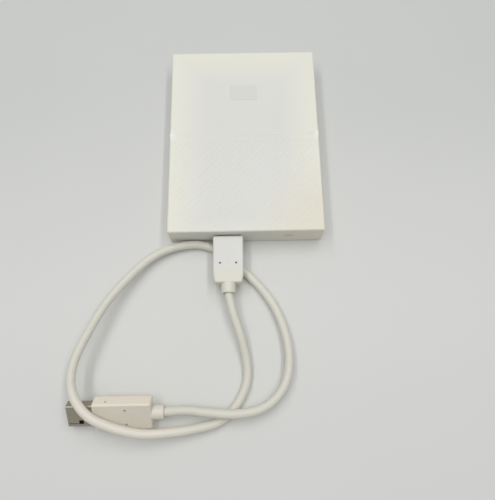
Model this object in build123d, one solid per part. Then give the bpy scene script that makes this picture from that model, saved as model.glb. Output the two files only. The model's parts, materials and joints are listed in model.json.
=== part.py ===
from build123d import *

import os
from math import acos, atan, atan2, cos, degrees, hypot, radians, sin, tan

# A portable hard drive in a plastic case, with its data cable. Millimetres, +Z up.
# The origin lies on the surface that the drive stands on, under the middle of the case.
# The port is in the front face, at -Y, and the case is sized from the mechanism outwards.

# Case
case_wall = 1.6
case_roof = 1.6
case_edge_radius = 0.9
side_gap = 4.225
front_gap = 2.0
rear_gap = 4.6
under_gap = 4.325
top_gap = 1.475
bumper_grip = 5.0
bumper_length = 10.0
seat_clearance = 0.05

# Bottom tray and feet
foot_height = 0.4
foot_width = 8.0
foot_sides = 8
foot_inset = 9.0
tray_thickness = 1.5
tray_clearance = 0.1
rim_height = 2.5
rim_width = 1.0
snap_length = 8.0
snap_height = 0.8
snap_depth = 0.4
snap_spacing = 36.0

# Fold across the top, with a notch at each end, and ribs on the front half
fold_offset = 1.0
fold_width = 1.0
fold_depth = 0.12
notch_depth = 1.0
notch_reach = 6.0
notch_rear = 3.0
notch_front = 1.5
rib_pitch = 2.6
rib_width = 1.3
rib_depth = 0.12
rib_margin = 2.4
rib_angle = 45.0
cut_overlap = 0.05

# Light window in the front face, and the lamp behind it
light_offset = 22.45
light_rise = 1.875
light_width = 5.0
light_height = 1.4
light_flange = 0.8
light_clearance = 0.05
lamp_width = 1.6
lamp_depth = 0.8
lamp_height = 0.6

# Casting, lid and gasket of the mechanism
mech_width = 69.85
casting_corner = 2.0
casting_floor = 0.5
motor_floor = 0.6
front_wall = 2.4
port_wall = 3.0
shroud_wall = 1.6
coil_bay_corner = 12.0
coil_bay_room = 2.475
gasket_thickness = 0.1
gasket_width = 1.0
gasket_inset = 0.3
lid_thickness = 0.4

# Circuit board
board_thickness = 0.8
board_length = 45.0
board_clearance = 0.5
chip_height = 0.8
chip_clearance = 0.3
chip_spacing = 3.0
controller_size = 12.0
memory_width = 10.0
memory_length = 6.0
driver_size = 7.0
film_thickness = 0.15
standoff_size = 3.0

# Disk and spindle
platter_thickness = 0.8
platter_bore_radius = 10.0
shroud_clearance = 0.825
hub_fit = 0.02
flange_overlap = 2.5
flange_thickness = 0.3
clamp_overlap = 1.5
clamp_thickness = 0.5
shaft_radius = 2.0
shaft_fit = 0.03
sleeve_wall = 1.4
sleeve_gap = 0.15
stator_radius = 8.6
stator_core = 1.6
ring_sides = 24
stator_height = 1.6
stator_lift = 0.3
stator_poles = 9
pole_width = 1.2
shoe_width = 3.6
shoe_depth = 0.8
air_gap = 0.2
rotor_magnet_wall = 1.2
rotor_magnet_height = 2.2
motor_clearance = 1.0

# Head stack
pivot_disk_gap = 6.9
pivot_radius = 1.5
pivot_fit = 0.03
pivot_sleeve_wall = 1.7
pivot_boss_wall = 2.0
pivot_end_gap = 0.2
head_setback = 5.5
tab_length = 3.0
park_clearance = 2.4
inner_track_margin = 1.9
head_gap = 0.1
slider_height = 0.28
slider_length = 1.25
slider_width = 1.0
beam_thickness = 0.12
beam_root = 19.0
beam_root_width = 4.4
beam_tip_width = 1.2
arm_thickness = 0.6
arm_root = 2.0
arm_lap = 5.0
arm_root_width = 9.0
arm_tip_width = 5.0

# Voice-coil motor, ramp, filter and ribbon
coil_angle = -45.0
coil_half_span = 20.0
coil_inner_radius = 8.5
coil_outer_radius = 18.5
coil_width = 2.6
coil_thickness = 1.4
coil_gap = 0.25
fork_span = 6.0
fork_fit = 0.1
fork_setback = 2.0
magnet_thickness = 0.6
magnet_inset = 1.5
fan_cuts = 4
yoke_thickness = 0.5
yoke_setback = 0.9
yoke_side_gap = 0.9
yoke_span_margin = 2.5
yoke_edge = 0.6
post_width = 3.0
post_depth = 1.4
post_clearance = 0.5
post_span = 30.0
stop_size = 2.4
stop_gap = 0.3
stop_setback = 4.5
ramp_gap = 0.05
ramp_shelf = 2.0
ramp_tip_gap = 0.6
ramp_post = 3.4
ramp_span_margin = 6.0
ramp_disk_gap = 0.5
filter_width = 10.0
filter_depth = 4.0
filter_angle = 135.0
ribbon_thickness = 0.2
ribbon_half_height = 0.8
ribbon_gap = 0.3
ribbon_angle = 226.0
ribbon_length = 7.5
ribbon_bow = 0.8
bracket_size = 4.0

# Port in the drive, and the metal end of the plug in it
port_offset = -9.5
port_setback = 0.4
port_length = 6.8
port_sheet = 0.3
port_play = 0.15
port_clearance = 0.3
plug_end_width = 11.9
plug_end_height = 1.85
plug_end_length = 5.6
plug_bay_width = 6.9
plug_waist = 0.8
plug_cut = 0.7
plug_sheet = 0.25
tongue_thickness = 0.6
tongue_clearance = 0.3
tongue_base = 0.8

# Mouldings on the cable
plug_edge_radius = 1.0
plug_taper_length = 5.0
pin_mark_sides = 8
pin_mark_radius = 0.55
pin_mark_depth = 0.8
pin_mark_spacing = 8.2
front_mark_setback = 14.2
flat_mark_setback = 15.2
front_plug_width = 15.7
front_plug_length = 24.3
front_plug_height = 7.0
front_plug_taper = 0.9
front_plug_gap = 0.5
front_collar_radius = 3.7
front_collar_length = 5.7
flat_plug_width = 15.0
flat_plug_length = 27.8
flat_plug_height = 7.0
flat_collar_radius = 3.4
flat_collar_length = 5.6
flat_plug_x = -59.8
flat_plug_y = -142.1
flat_plug_roll = 39.2
flat_plug_taper = 0.2
flat_plug_gap = 0.1

# Metal end of the loose plug
flat_end_width = 12.0
flat_end_height = 4.5
flat_end_length = 12.2
flat_end_sheet = 0.3
flat_end_corner = 0.4
window_size = 2.2
window_spacing = 6.4
window_setback = 6.4
insulator_height = 1.9
insulator_clearance = 0.05
insulator_setback = 0.6
contact_count = 4
contact_width = 1.0
contact_length = 7.0
contact_height = 0.12
contact_setback = 1.5

# Cable, laid from the front plug to the loose plug
cable_diameter = 4.4
cable_sides = 6
cable_arc_share = 0.45
cable_end_run = 9.0
cable_points = [
    (-5, -106, 6.4), (-1.5, -116, 3.4), (-0.5, -125.5, 2.3), (-3, -134.5, 2.3), (-12.5, -146.5, 2.3),
    (-27.5, -150.5, 2.3), (-41.5, -152, 3.9), (-51, -151.5, 8.6), (-64, -148, 14.1), (-75, -142.5, 17.2),
    (-82.5, -132, 17.4), (-83.5, -119.5, 16.6), (-77.5, -104.5, 14.4), (-71, -89, 11.4), (-61, -76, 8),
    (-50.5, -64, 5.2), (-37, -58, 3.6), (-20.5, -57.5, 2.35), (-4.5, -69, 2.3), (11.5, -85.5, 2.3),
    (18.5, -101.5, 2.3), (21.5, -117, 2.3), (18.5, -130.5, 2.3), (8.5, -140, 3.4), (-5, -143, 7.3),
    (-19.5, -142.5, 7.8),
]

# Levels, from the surface upwards
tray_top = foot_height + tray_thickness
mech_bottom = tray_top + under_gap
board_top = mech_bottom + board_thickness
pocket_top = board_top + chip_height + chip_clearance
bay_floor = pocket_top + casting_floor
bay_height = 2 * (yoke_thickness + magnet_thickness + coil_gap) + coil_thickness
disk_level = bay_floor + bay_height / 2
casting_top = bay_floor + bay_height
lid_bottom = casting_top + gasket_thickness
mech_top = lid_bottom + lid_thickness
ceiling = mech_top + top_gap
case_top = ceiling + case_roof
port_half_height = plug_end_height / 2 + port_play + port_sheet
port_level = board_top + port_half_height
light_level = board_top + light_rise

# Distances from the disk's middle plane to the layers of the head stack on each side of it
platter_face = platter_thickness / 2
slider_face = platter_face + head_gap
beam_face = slider_face + slider_height
arm_face = beam_face + beam_thickness
arm_back = arm_face + arm_thickness

# Plan of the mechanism and the case
well_radius = mech_width / 2 - shroud_wall
platter_radius = well_radius - shroud_clearance
flange_radius = platter_bore_radius + flange_overlap
clamp_radius = platter_bore_radius + clamp_overlap
post_near = coil_outer_radius + post_clearance
post_far = post_near + post_depth
yoke_outer_radius = post_far + yoke_edge
yoke_inner_radius = coil_inner_radius - yoke_setback
yoke_end = coil_angle + coil_half_span + yoke_span_margin
pivot_offset_x = well_radius - yoke_side_gap - yoke_outer_radius * cos(radians(yoke_end))
pivot_offset_y = -(platter_radius + pivot_disk_gap)
mech_length = mech_width / 2 - pivot_offset_y + yoke_outer_radius + coil_bay_room + front_wall
inside_x = mech_width / 2 + side_gap
inside_y = (mech_length + front_gap + rear_gap) / 2
outside_x = inside_x + case_wall
outside_y = inside_y + case_wall
rim_inside_x = inside_x - tray_clearance - rim_width
rim_inside_y = inside_y - tray_clearance - rim_width
mech_front = -inside_y + front_gap
mech_rear = mech_front + mech_length
spindle = (0, mech_rear - mech_width / 2)
pivot = (pivot_offset_x, spindle[1] + pivot_offset_y)
board_half_width = mech_width / 2 - bumper_grip - board_clearance
board_front = -inside_y + seat_clearance
board_rear = board_front + board_length
port_half_width = plug_end_width / 2 + port_play + port_sheet
port_mouth = -outside_y + port_setback
port_rear = port_mouth + port_length
front_plug_face = -outside_y - front_plug_gap
front_plug_rear = front_plug_face - front_plug_length
flat_plug_face = flat_plug_x - flat_plug_length / 2
flat_plug_rear = flat_plug_x + flat_plug_length / 2

# Level of the loose plug's middle, and the cable's ends on the plugs' collars
roll_rise = (flat_plug_width / 2 - plug_edge_radius) * sin(radians(flat_plug_roll))
roll_rise += (flat_plug_height / 2 - plug_edge_radius) * cos(radians(flat_plug_roll))
flat_plug_level = roll_rise + plug_edge_radius + flat_plug_gap
cable_start_y = front_plug_rear - front_collar_length
cable_end_x = flat_plug_rear + flat_collar_length

# Swing of the head stack, as directions seen from the pivot
arm_distance = hypot(pivot_offset_x, pivot_offset_y)
spindle_direction = degrees(atan2(-pivot_offset_y, -pivot_offset_x))
head_reach = arm_distance - head_setback
tab_reach = head_reach + tab_length
arm_reach = beam_root + arm_lap
pivot_sleeve_radius = pivot_radius + pivot_fit + pivot_sleeve_wall
pivot_boss_radius = pivot_sleeve_radius + hub_fit + pivot_boss_wall


def swing_angle(reach, disk_radius):
    """Direction of a point on the arm when it lies at a radius of the disk."""
    ratio = (arm_distance**2 + reach**2 - disk_radius**2) / (2 * arm_distance * reach)
    return spindle_direction + degrees(acos(ratio))


park_angle = swing_angle(head_reach, platter_radius + park_clearance)
inner_angle = swing_angle(head_reach, clamp_radius + inner_track_margin)
arm_travel = park_angle - inner_angle
fork_start = coil_half_span + degrees(fork_fit / coil_inner_radius)
fork_end = fork_start + fork_span
yoke_start = coil_angle - arm_travel - coil_half_span - yoke_span_margin


def block(x_span, y_span, z_span):
    spans = (x_span, y_span, z_span)
    middle = [(low + high) / 2 for low, high in spans]
    return Pos(*middle) * Box(*[high - low for low, high in spans])


def around(middle, half):
    return (middle - half, middle + half)


def plate(outline, low, high):
    return Pos(0, 0, low) * extrude(outline, high - low)


def disc(centre, radius, low, high):
    return plate(Pos(*centre) * Circle(radius), low, high)


def polar(centre, radius, angle):
    return (centre[0] + radius * cos(radians(angle)), centre[1] + radius * sin(radians(angle)))


def fan(inner, outer, start, end):
    """A piece of a flat ring about the pivot, with straight cuts in place of arcs."""
    angles = [start + (end - start) * step / fan_cuts for step in range(fan_cuts + 1)]
    outer_points = [polar(pivot, outer, angle) for angle in angles]
    inner_points = [polar(pivot, inner, angle) for angle in reversed(angles)]
    return Polygon(*outer_points, *inner_points, align=None)


def blade(angle, near, far, near_width, far_width):
    """A flat tapered strip that points away from the pivot."""
    outline = Polygon(
        (near, -near_width / 2),
        (far, -far_width / 2),
        (far, far_width / 2),
        (near, near_width / 2),
        align=None,
    )
    return Pos(*pivot) * Rot(0, 0, angle) * outline


def layer(side, near, far):
    """Levels of a layer of the head stack, above (1) or below (-1) the disk."""
    return sorted((disk_level + side * near, disk_level + side * far))


# Case


def snap_places():
    for side in (-1, 1):
        for step in (-1, 0, 1):
            yield side, step * snap_spacing


def snap_ridge(side, y, room):
    """A ridge on the tray's rim or, with some room around it, its groove in the cover's wall."""
    rim_face = inside_x - tray_clearance
    x_span = sorted((side * (rim_face - rim_width / 2), side * (rim_face + snap_depth + room)))
    z_high = tray_top + rim_height
    return block(x_span, around(y, snap_length / 2 + room), (z_high - snap_height - room, z_high + room))


def v_cut(length, front, rear, depth):
    """A straight cut along X with a V section, open at the plane z = 0."""
    stretch = 1 + cut_overlap / depth
    section = Polygon((0, -depth), (rear * stretch, cut_overlap), (-front * stretch, cut_overlap), align=None)
    return extrude(Plane.YZ * section, length / 2, both=True)


def fold_notch(side):
    """The end of the fold: deep at the side of the case, and running out towards its middle."""
    slope = degrees(atan(notch_depth / notch_reach))
    cut = v_cut(2 * notch_reach, notch_front, notch_rear, notch_depth)
    return Pos(side * outside_x, fold_offset, case_top) * Rot(0, side * slope, 0) * cut


def rib_grooves():
    """Slanting grooves that leave ribs between them, kept clear of the edges and of the fold."""
    field_x = outside_x - rib_margin
    field_front = -outside_y + rib_margin
    field_rear = fold_offset - notch_front - rib_margin
    field_y = (field_rear - field_front) / 2
    field = block((-field_x, field_x), (field_front, field_rear), around(case_top, case_roof / 2))
    slant = radians(rib_angle)
    count = int((field_x * sin(slant) + field_y * cos(slant)) / rib_pitch)
    place = Pos(0, field_front + field_y, case_top) * Rot(0, 0, rib_angle)
    cut = v_cut(2 * hypot(field_x, field_y), rib_width / 2, rib_width / 2, rib_depth)
    cuts = [place * Pos(0, step * rib_pitch, 0) * cut for step in range(-count, count + 1)]
    return [cut & field for cut in cuts]


def top_cover():
    cover = block((-outside_x, outside_x), (-outside_y, outside_y), (foot_height, case_top))
    rounded = cover.edges().filter_by(Axis.Z) + cover.faces().sort_by(Axis.Z)[-1].edges()
    cover = fillet(rounded, case_edge_radius)
    cover -= block((-inside_x, inside_x), (-inside_y, inside_y), (foot_height, ceiling))
    front = (-outside_y, -inside_y)
    port_x = around(port_offset, port_half_width + port_clearance)
    cover -= block(port_x, front, around(port_level, port_half_height + port_clearance))
    light_x = around(light_offset, light_width / 2 + light_clearance)
    cover -= block(light_x, front, around(light_level, light_height / 2 + light_clearance))
    cover -= [snap_ridge(side, y, tray_clearance) for side, y in snap_places()]
    fold = v_cut(2 * outside_x, fold_width / 2, fold_width / 2, fold_depth)
    cover -= Pos(0, fold_offset, case_top) * fold
    cover -= [fold_notch(side) for side in (-1, 1)]
    return cover - rib_grooves()


def bottom_tray():
    plate_x = inside_x - tray_clearance
    plate_y = inside_y - tray_clearance
    rim_top = tray_top + rim_height
    tray = block((-plate_x, plate_x), (-plate_y, plate_y), (foot_height, rim_top))
    tray -= block((-rim_inside_x, rim_inside_x), (-rim_inside_y, rim_inside_y), (tray_top, rim_top))
    return tray + [snap_ridge(side, y, 0) for side, y in snap_places()]


def rubber_feet():
    foot_x = outside_x - foot_inset
    foot_y = outside_y - foot_inset
    foot = plate(RegularPolygon(foot_width / 2, foot_sides, major_radius=False), 0, foot_height)
    return Compound(children=[Pos(x, y) * foot for x in (-foot_x, foot_x) for y in (-foot_y, foot_y)])


def bumper(side, at_rear):
    """A rubber corner that holds the mechanism between the tray and the roof."""
    x_span = sorted((side * (mech_width / 2 - bumper_grip), side * (rim_inside_x - seat_clearance)))
    if at_rear:
        y_span = (mech_rear - bumper_length, rim_inside_y - seat_clearance)
    else:
        y_span = (mech_front, mech_front + bumper_length)
    corner = block(x_span, y_span, (tray_top, ceiling - seat_clearance))
    held_x = mech_width / 2 + seat_clearance
    held_y = (mech_front, mech_rear + seat_clearance)
    return corner - block((-held_x, held_x), held_y, (mech_bottom, mech_top + seat_clearance))


def light_pipe():
    """A clear bar in the window, with a flange behind the wall that reaches down to the lamp."""
    flange_front = -inside_y + light_clearance
    low, high = around(light_level, light_height / 2)
    nose_x = around(light_offset, light_width / 2)
    flange_x = around(light_offset, light_width / 2 + light_flange)
    flange_low = board_top + lamp_height + light_clearance
    nose = block(nose_x, (-outside_y + light_clearance, flange_front), (low, high))
    flange_y = (flange_front, flange_front + light_flange)
    return nose + block(flange_x, flange_y, (flange_low, high + light_flange))


# Casting of the mechanism, and what closes it


def mech_outline(inset):
    """Plan of the mechanism, or of something smaller that follows its edge."""
    outline = Rectangle(mech_width - 2 * inset, mech_length - 2 * inset)
    return Pos(0, mech_front + mech_length / 2) * chamfer(outline.vertices(), casting_corner)


def bay_outline():
    """Plan of the hollow: the disk's well, and in front of it the bay of the head stack."""
    arm_bay_front = port_rear + port_clearance + port_wall
    coil_bay_front = mech_front + front_wall
    arm_bay = Rectangle(2 * well_radius, spindle[1] - arm_bay_front)
    coil_bay = RectangleRounded(well_radius, spindle[1] - coil_bay_front, coil_bay_corner)
    outline = Pos(*spindle) * Circle(well_radius)
    outline += Pos(0, (spindle[1] + arm_bay_front) / 2) * arm_bay
    return outline + Pos(well_radius / 2, (spindle[1] + coil_bay_front) / 2) * coil_bay


def filter_block(room):
    """The filter behind the disk or, with some room around it, its pocket."""
    place = Pos(*polar(spindle, well_radius + filter_depth / 2, filter_angle)) * Rot(0, 0, filter_angle)
    outline = place * Rectangle(filter_depth + 2 * room, filter_width + 2 * room)
    return plate(outline, bay_floor, casting_top)


def standoffs():
    """Pads under the casting that the board is fixed to."""
    edge_x = board_half_width - standoff_size
    places = [
        (-edge_x, board_rear - standoff_size),
        (edge_x, board_rear - standoff_size),
        (edge_x, mech_front + standoff_size),
    ]
    half = standoff_size / 2
    return [block(around(x, half), around(y, half), (board_top, pocket_top)) for x, y in places]


def base_casting():
    casting = plate(mech_outline(0), mech_bottom, casting_top)
    casting -= plate(bay_outline(), bay_floor, casting_top)
    casting -= disc(spindle, flange_radius + motor_clearance, mech_bottom + motor_floor, bay_floor)
    casting -= filter_block(seat_clearance)
    pocket_x = board_half_width + chip_clearance
    pocket_y = (mech_front, board_rear + chip_clearance)
    casting -= block((-pocket_x, pocket_x), pocket_y, (mech_bottom, pocket_top))
    port_x = around(port_offset, port_half_width + port_clearance)
    port_high = port_level + port_half_height + port_clearance
    casting -= block(port_x, (mech_front, port_rear + port_clearance), (mech_bottom, port_high))
    return casting + standoffs()


def mechanism_lid():
    return plate(mech_outline(0), lid_bottom, mech_top)


def lid_gasket():
    ring = mech_outline(gasket_inset) - mech_outline(gasket_inset + gasket_width)
    return plate(ring, casting_top, lid_bottom)


# Spindle motor and disk

motor_seat = mech_bottom + motor_floor
platter_bottom = disk_level - platter_face
platter_top = disk_level + platter_face
flange_bottom = platter_bottom - flange_thickness
sleeve_radius = shaft_radius + shaft_fit + sleeve_wall
rotor_bore_radius = hypot(stator_radius, shoe_width / 2) + air_gap


def bearing_sleeve():
    sleeve = disc(spindle, sleeve_radius, motor_seat, flange_bottom - sleeve_gap)
    return sleeve - disc(spindle, shaft_radius + shaft_fit, motor_seat, flange_bottom)


def flat_sided_ring(inner, outer):
    """A ring with many flat sides, which leaves its inner circle free and stays inside its outer one."""
    return RegularPolygon(outer, ring_sides) - RegularPolygon(inner, ring_sides, major_radius=False)


def motor_stator():
    """An iron core with poles that widen at their ends."""
    low = motor_seat + stator_lift
    core_radius = sleeve_radius + hub_fit + stator_core
    pole_length = stator_radius - core_radius + stator_core / 2
    arm = Pos(stator_radius - pole_length / 2, 0) * Rectangle(pole_length, pole_width)
    shoe = Pos(stator_radius - shoe_depth / 2, 0) * Rectangle(shoe_depth, shoe_width)
    outline = flat_sided_ring(sleeve_radius + hub_fit, core_radius)
    outline += [Rot(0, 0, pole * 360 / stator_poles) * (arm + shoe) for pole in range(stator_poles)]
    return plate(Pos(*spindle) * outline, low, low + stator_height)


def spindle_hub():
    hub = disc(spindle, flange_radius, flange_bottom, platter_bottom)
    hub += disc(spindle, platter_bore_radius - hub_fit, platter_bottom, platter_top)
    return hub + disc(spindle, shaft_radius, motor_seat + sleeve_gap, flange_bottom)


def rotor_magnet():
    ring = flat_sided_ring(rotor_bore_radius, rotor_bore_radius + rotor_magnet_wall)
    return plate(Pos(*spindle) * ring, flange_bottom - rotor_magnet_height, flange_bottom)


def platter():
    disk = disc(spindle, platter_radius, platter_bottom, platter_top)
    return disk - disc(spindle, platter_bore_radius, platter_bottom, platter_top)


def disk_clamp():
    return disc(spindle, clamp_radius, platter_top, platter_top + clamp_thickness)


# Head stack


def pivot_shaft():
    return disc(pivot, pivot_radius, bay_floor, lid_bottom)


def pivot_sleeve():
    low = bay_floor + pivot_end_gap
    high = lid_bottom - pivot_end_gap
    return disc(pivot, pivot_sleeve_radius, low, high) - disc(pivot, pivot_radius + pivot_fit, low, high)


def actuator_arm():
    """One piece: a boss on the pivot, an arm on each side of the disk, and a fork that holds the coil."""
    body = disc(pivot, pivot_boss_radius, *around(disk_level, arm_back))
    arm = blade(park_angle, arm_root, arm_reach, arm_root_width, arm_tip_width)
    body += [plate(arm, *layer(side, arm_face, arm_back)) for side in (-1, 1)]
    root = pivot_sleeve_radius + hub_fit
    web = fan(root, coil_inner_radius - fork_fit, coil_angle - fork_end, coil_angle + fork_end)
    fork = [web]
    for start in (fork_start, -fork_end):
        prong_start = coil_angle + start
        tip = coil_outer_radius - fork_setback
        fork.append(fan(root, tip, prong_start, prong_start + fork_span))
    body += [plate(piece, *around(disk_level, coil_thickness / 2)) for piece in fork]
    return body - disc(pivot, pivot_sleeve_radius + hub_fit, *around(disk_level, arm_back))


def voice_coil():
    """A flat winding with two straight sides that lie across the magnets."""
    side_angle = degrees(coil_width / coil_outer_radius)
    start, end = around(coil_angle, coil_half_span)
    winding = fan(coil_inner_radius, coil_outer_radius, start, end)
    winding -= fan(
        coil_inner_radius + coil_width,
        coil_outer_radius - coil_width,
        start + side_angle,
        end - side_angle,
    )
    return plate(winding, *around(disk_level, coil_thickness / 2))


def suspension(side):
    beam = blade(park_angle, beam_root, tab_reach, beam_root_width, beam_tip_width)
    return plate(beam, *layer(side, beam_face, arm_face))


def head_sliders():
    near, far = around(head_reach, slider_length / 2)
    slider = blade(park_angle, near, far, slider_width, slider_width)
    return Compound(children=[plate(slider, *layer(side, slider_face, beam_face)) for side in (-1, 1)])


# Voice-coil motor and the other pieces beside the disk


def lower_yoke():
    """A plate with two posts that carry the upper plate."""
    yoke_top = bay_floor + yoke_thickness
    yoke = plate(fan(yoke_inner_radius, yoke_outer_radius, yoke_start, yoke_end), bay_floor, yoke_top)
    angles = around((yoke_start + yoke_end) / 2, post_span / 2)
    posts = [blade(angle, post_near, post_far, post_width, post_width) for angle in angles]
    return yoke + [plate(post, yoke_top, casting_top - yoke_thickness) for post in posts]


def upper_yoke():
    outline = fan(yoke_inner_radius, yoke_outer_radius, yoke_start, yoke_end)
    return plate(outline, casting_top - yoke_thickness, casting_top)


def coil_magnet(side):
    outer = coil_outer_radius - magnet_inset
    inset_angle = degrees(magnet_inset / outer)
    outline = fan(coil_inner_radius, outer, yoke_start + inset_angle, yoke_end - inset_angle)
    near = coil_thickness / 2 + coil_gap
    return plate(outline, *layer(side, near, near + magnet_thickness))


def crash_stops():
    """Rubber blocks that the fork meets at each end of its swing."""
    near, far = around(coil_outer_radius - stop_setback, stop_size / 2)
    spread = fork_end + degrees(atan(stop_size / 2 / near) + stop_gap / near)
    angles = (coil_angle + spread, coil_angle - arm_travel - spread)
    stops = [blade(angle, near, far, stop_size, stop_size) for angle in angles]
    top = disk_level + coil_thickness / 2
    return Compound(children=[plate(stop, bay_floor, top) for stop in stops])


def load_ramp():
    """A shelf between the parked beams, on a post beyond their tips."""
    shelf_inner = tab_reach - ramp_shelf
    shelf_outer = tab_reach + ramp_tip_gap
    start = swing_angle(shelf_inner, platter_radius + ramp_disk_gap)
    end = park_angle + ramp_span_margin
    low, high = around(disk_level, beam_face - ramp_gap)
    shelf = plate(fan(shelf_inner, shelf_outer, start, end), low, high)
    return shelf + plate(fan(shelf_outer, shelf_outer + ramp_post, start, end), bay_floor, high)


def ribbon_place(reach):
    """A point on the ribbon's way from the boss on the pivot to its bracket."""
    return polar(pivot, pivot_boss_radius + ribbon_gap + reach, ribbon_angle)


def flex_ribbon():
    """A strip that bows a little to one side, so that it can give."""
    bowed = polar(ribbon_place(ribbon_length / 2), ribbon_bow, ribbon_angle - 90)
    line = ThreePointArc(ribbon_place(0), bowed, ribbon_place(ribbon_length))
    return plate(trace(line, ribbon_thickness), *around(disk_level, ribbon_half_height))


def ribbon_bracket():
    """A block on the floor of the bay, where the ribbon ends."""
    reach = ribbon_length + seat_clearance + bracket_size / 2
    place = Pos(*ribbon_place(reach)) * Rot(0, 0, ribbon_angle)
    outline = place * Rectangle(bracket_size, bracket_size)
    return plate(outline, bay_floor, disk_level + ribbon_half_height)


# Circuit board and port


def circuit_board():
    return block((-board_half_width, board_half_width), (board_front, board_rear), (mech_bottom, board_top))


def board_film():
    """An insulating film under the board."""
    low = mech_bottom - film_thickness
    return block((-board_half_width, board_half_width), (board_front, board_rear), (low, mech_bottom))


def chip(x, y, width, length):
    return block(around(x, width / 2), around(y, length / 2), (board_top, board_top + chip_height))


def controller_chip():
    x = -chip_spacing - controller_size / 2
    return chip(x, (board_front + board_rear) / 2, controller_size, controller_size)


def memory_chip():
    x = chip_spacing + memory_width / 2
    return chip(x, (board_front + board_rear) / 2, memory_width, memory_length)


def driver_chip():
    return chip(0, board_rear - driver_size, driver_size, driver_size)


def activity_lamp():
    x_span = around(light_offset, lamp_width / 2)
    lamp_front = -inside_y + 2 * light_clearance
    return block(x_span, (lamp_front, lamp_front + lamp_depth), (board_top, board_top + lamp_height))


def plug_section(grow):
    """Section of the plug's metal end: two bays with cut lower corners, joined by a waist."""
    right = plug_end_width / 2
    top = plug_end_height / 2
    shoulder = plug_cut - top
    waist_left = plug_bay_width - right
    waist_right = waist_left + plug_waist
    outline = Polygon(
        (-right, top),
        (-right, shoulder),
        (-right + plug_cut, -top),
        (waist_left - plug_cut, -top),
        (waist_left, shoulder),
        (waist_right, shoulder),
        (waist_right + plug_cut, -top),
        (right - plug_cut, -top),
        (right, shoulder),
        (right, top),
        align=None,
    )
    if grow:
        outline = offset(outline, grow, kind=Kind.INTERSECTION)
    return Plane((port_offset, 0, port_level), x_dir=(1, 0, 0), z_dir=(0, -1, 0)) * outline


def along_y(section, front, rear):
    return Pos(0, rear, 0) * extrude(section, rear - front)


def port_shell():
    """A folded metal tube on the board, open at the front."""
    shell = along_y(plug_section(port_play + port_sheet), port_mouth, port_rear)
    return shell - along_y(plug_section(port_play), port_mouth, port_rear)


def port_tongue():
    """The insulator that closes the tube's rear, with a thin tongue in each bay."""
    front = port_mouth + tongue_clearance
    base_front = port_rear - tongue_base
    body = along_y(plug_section(port_play - seat_clearance), base_front, port_rear)
    inset = plug_sheet + tongue_clearance + plug_cut
    left = port_offset - plug_end_width / 2
    middle = left + plug_bay_width
    right = port_offset + plug_end_width / 2
    bays = ((left + inset, middle - inset), (middle + plug_waist + inset, right - inset))
    z_span = around(port_level, tongue_thickness / 2)
    return body + [block(bay, (front, base_front), z_span) for bay in bays]


def front_plug_end():
    """The plug's metal tube, which stands in the port."""
    rear = front_plug_face + plug_end_length
    tube = along_y(plug_section(0), front_plug_face, rear)
    return tube - along_y(plug_section(-plug_sheet), front_plug_face, rear)


# Plugs and cable


def plug_moulding(length, width, height, taper, collar_radius, collar_length, mark_setback):
    """A block from x = 0 to -length that narrows to a collar on the cable, with marks of mould pins."""
    section = Plane.YZ * RectangleRounded(width, height, plug_edge_radius)
    body = extrude(section, -length)
    for side in (-1, 1):
        cut = Polygon(
            (-length, side * (width / 2 - taper)),
            (-length, side * width / 2),
            (plug_taper_length - length, side * width / 2),
            align=None,
        )
        body -= plate(cut, -height / 2, height / 2)
    body += Pos(-length, 0, 0) * extrude(Plane.YZ * Circle(collar_radius), -collar_length)
    mark = RegularPolygon(pin_mark_radius, pin_mark_sides)
    for y in around(0, pin_mark_spacing / 2):
        body -= plate(Pos(-mark_setback, y) * mark, height / 2 - pin_mark_depth, height / 2)
    return body


def front_plug_moulding():
    moulding = plug_moulding(
        front_plug_length,
        front_plug_width,
        front_plug_height,
        front_plug_taper,
        front_collar_radius,
        front_collar_length,
        front_mark_setback,
    )
    return Pos(port_offset, front_plug_face, port_level) * Rot(0, 0, 90) * moulding


def flat_plug_place():
    """The loose plug lies on a lower edge, rolled about its length, with its tip towards -X."""
    return Pos(flat_plug_face, flat_plug_y, flat_plug_level) * Rot(flat_plug_roll, 0, 0) * Rot(0, 0, 180)


def flat_plug_moulding():
    return flat_plug_place() * plug_moulding(
        flat_plug_length,
        flat_plug_width,
        flat_plug_height,
        flat_plug_taper,
        flat_collar_radius,
        flat_collar_length,
        flat_mark_setback,
    )


def flat_plug_end():
    """A folded metal tube with square windows in its wide sides."""
    half_width = flat_end_width / 2
    half_height = flat_end_height / 2
    tube = block((0, flat_end_length), (-half_width, half_width), (-half_height, half_height))
    tube = chamfer(tube.edges().filter_by(Axis.X), flat_end_corner)
    inner_width = half_width - flat_end_sheet
    inner_height = half_height - flat_end_sheet
    tube -= block((0, flat_end_length), (-inner_width, inner_width), (-inner_height, inner_height))
    window_x = around(flat_end_length - window_setback, window_size / 2)
    for y in around(0, window_spacing / 2):
        tube -= block(window_x, around(y, window_size / 2), (-half_height, half_height))
    return flat_plug_place() * tube


def insulator_spans():
    """The insulator fills the lower part of the metal tube."""
    inner_width = flat_end_width / 2 - flat_end_sheet - insulator_clearance
    low = flat_end_sheet + insulator_clearance - flat_end_height / 2
    x_span = (0, flat_end_length - insulator_setback)
    return x_span, (-inner_width, inner_width), (low, low + insulator_height)


def flat_plug_insulator():
    return flat_plug_place() * block(*insulator_spans())


def flat_plug_contacts():
    """Flat strips side by side on the insulator."""
    x_span, y_span, z_span = insulator_spans()
    tip = x_span[1] - contact_setback
    pitch = (y_span[1] - y_span[0]) / contact_count
    middles = [y_span[0] + (number + 0.5) * pitch for number in range(contact_count)]
    z_span = (z_span[1], z_span[1] + contact_height)
    strips = [block((tip - contact_length, tip), around(y, contact_width / 2), z_span) for y in middles]
    return Compound(children=[flat_plug_place() * strip for strip in strips])


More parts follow.
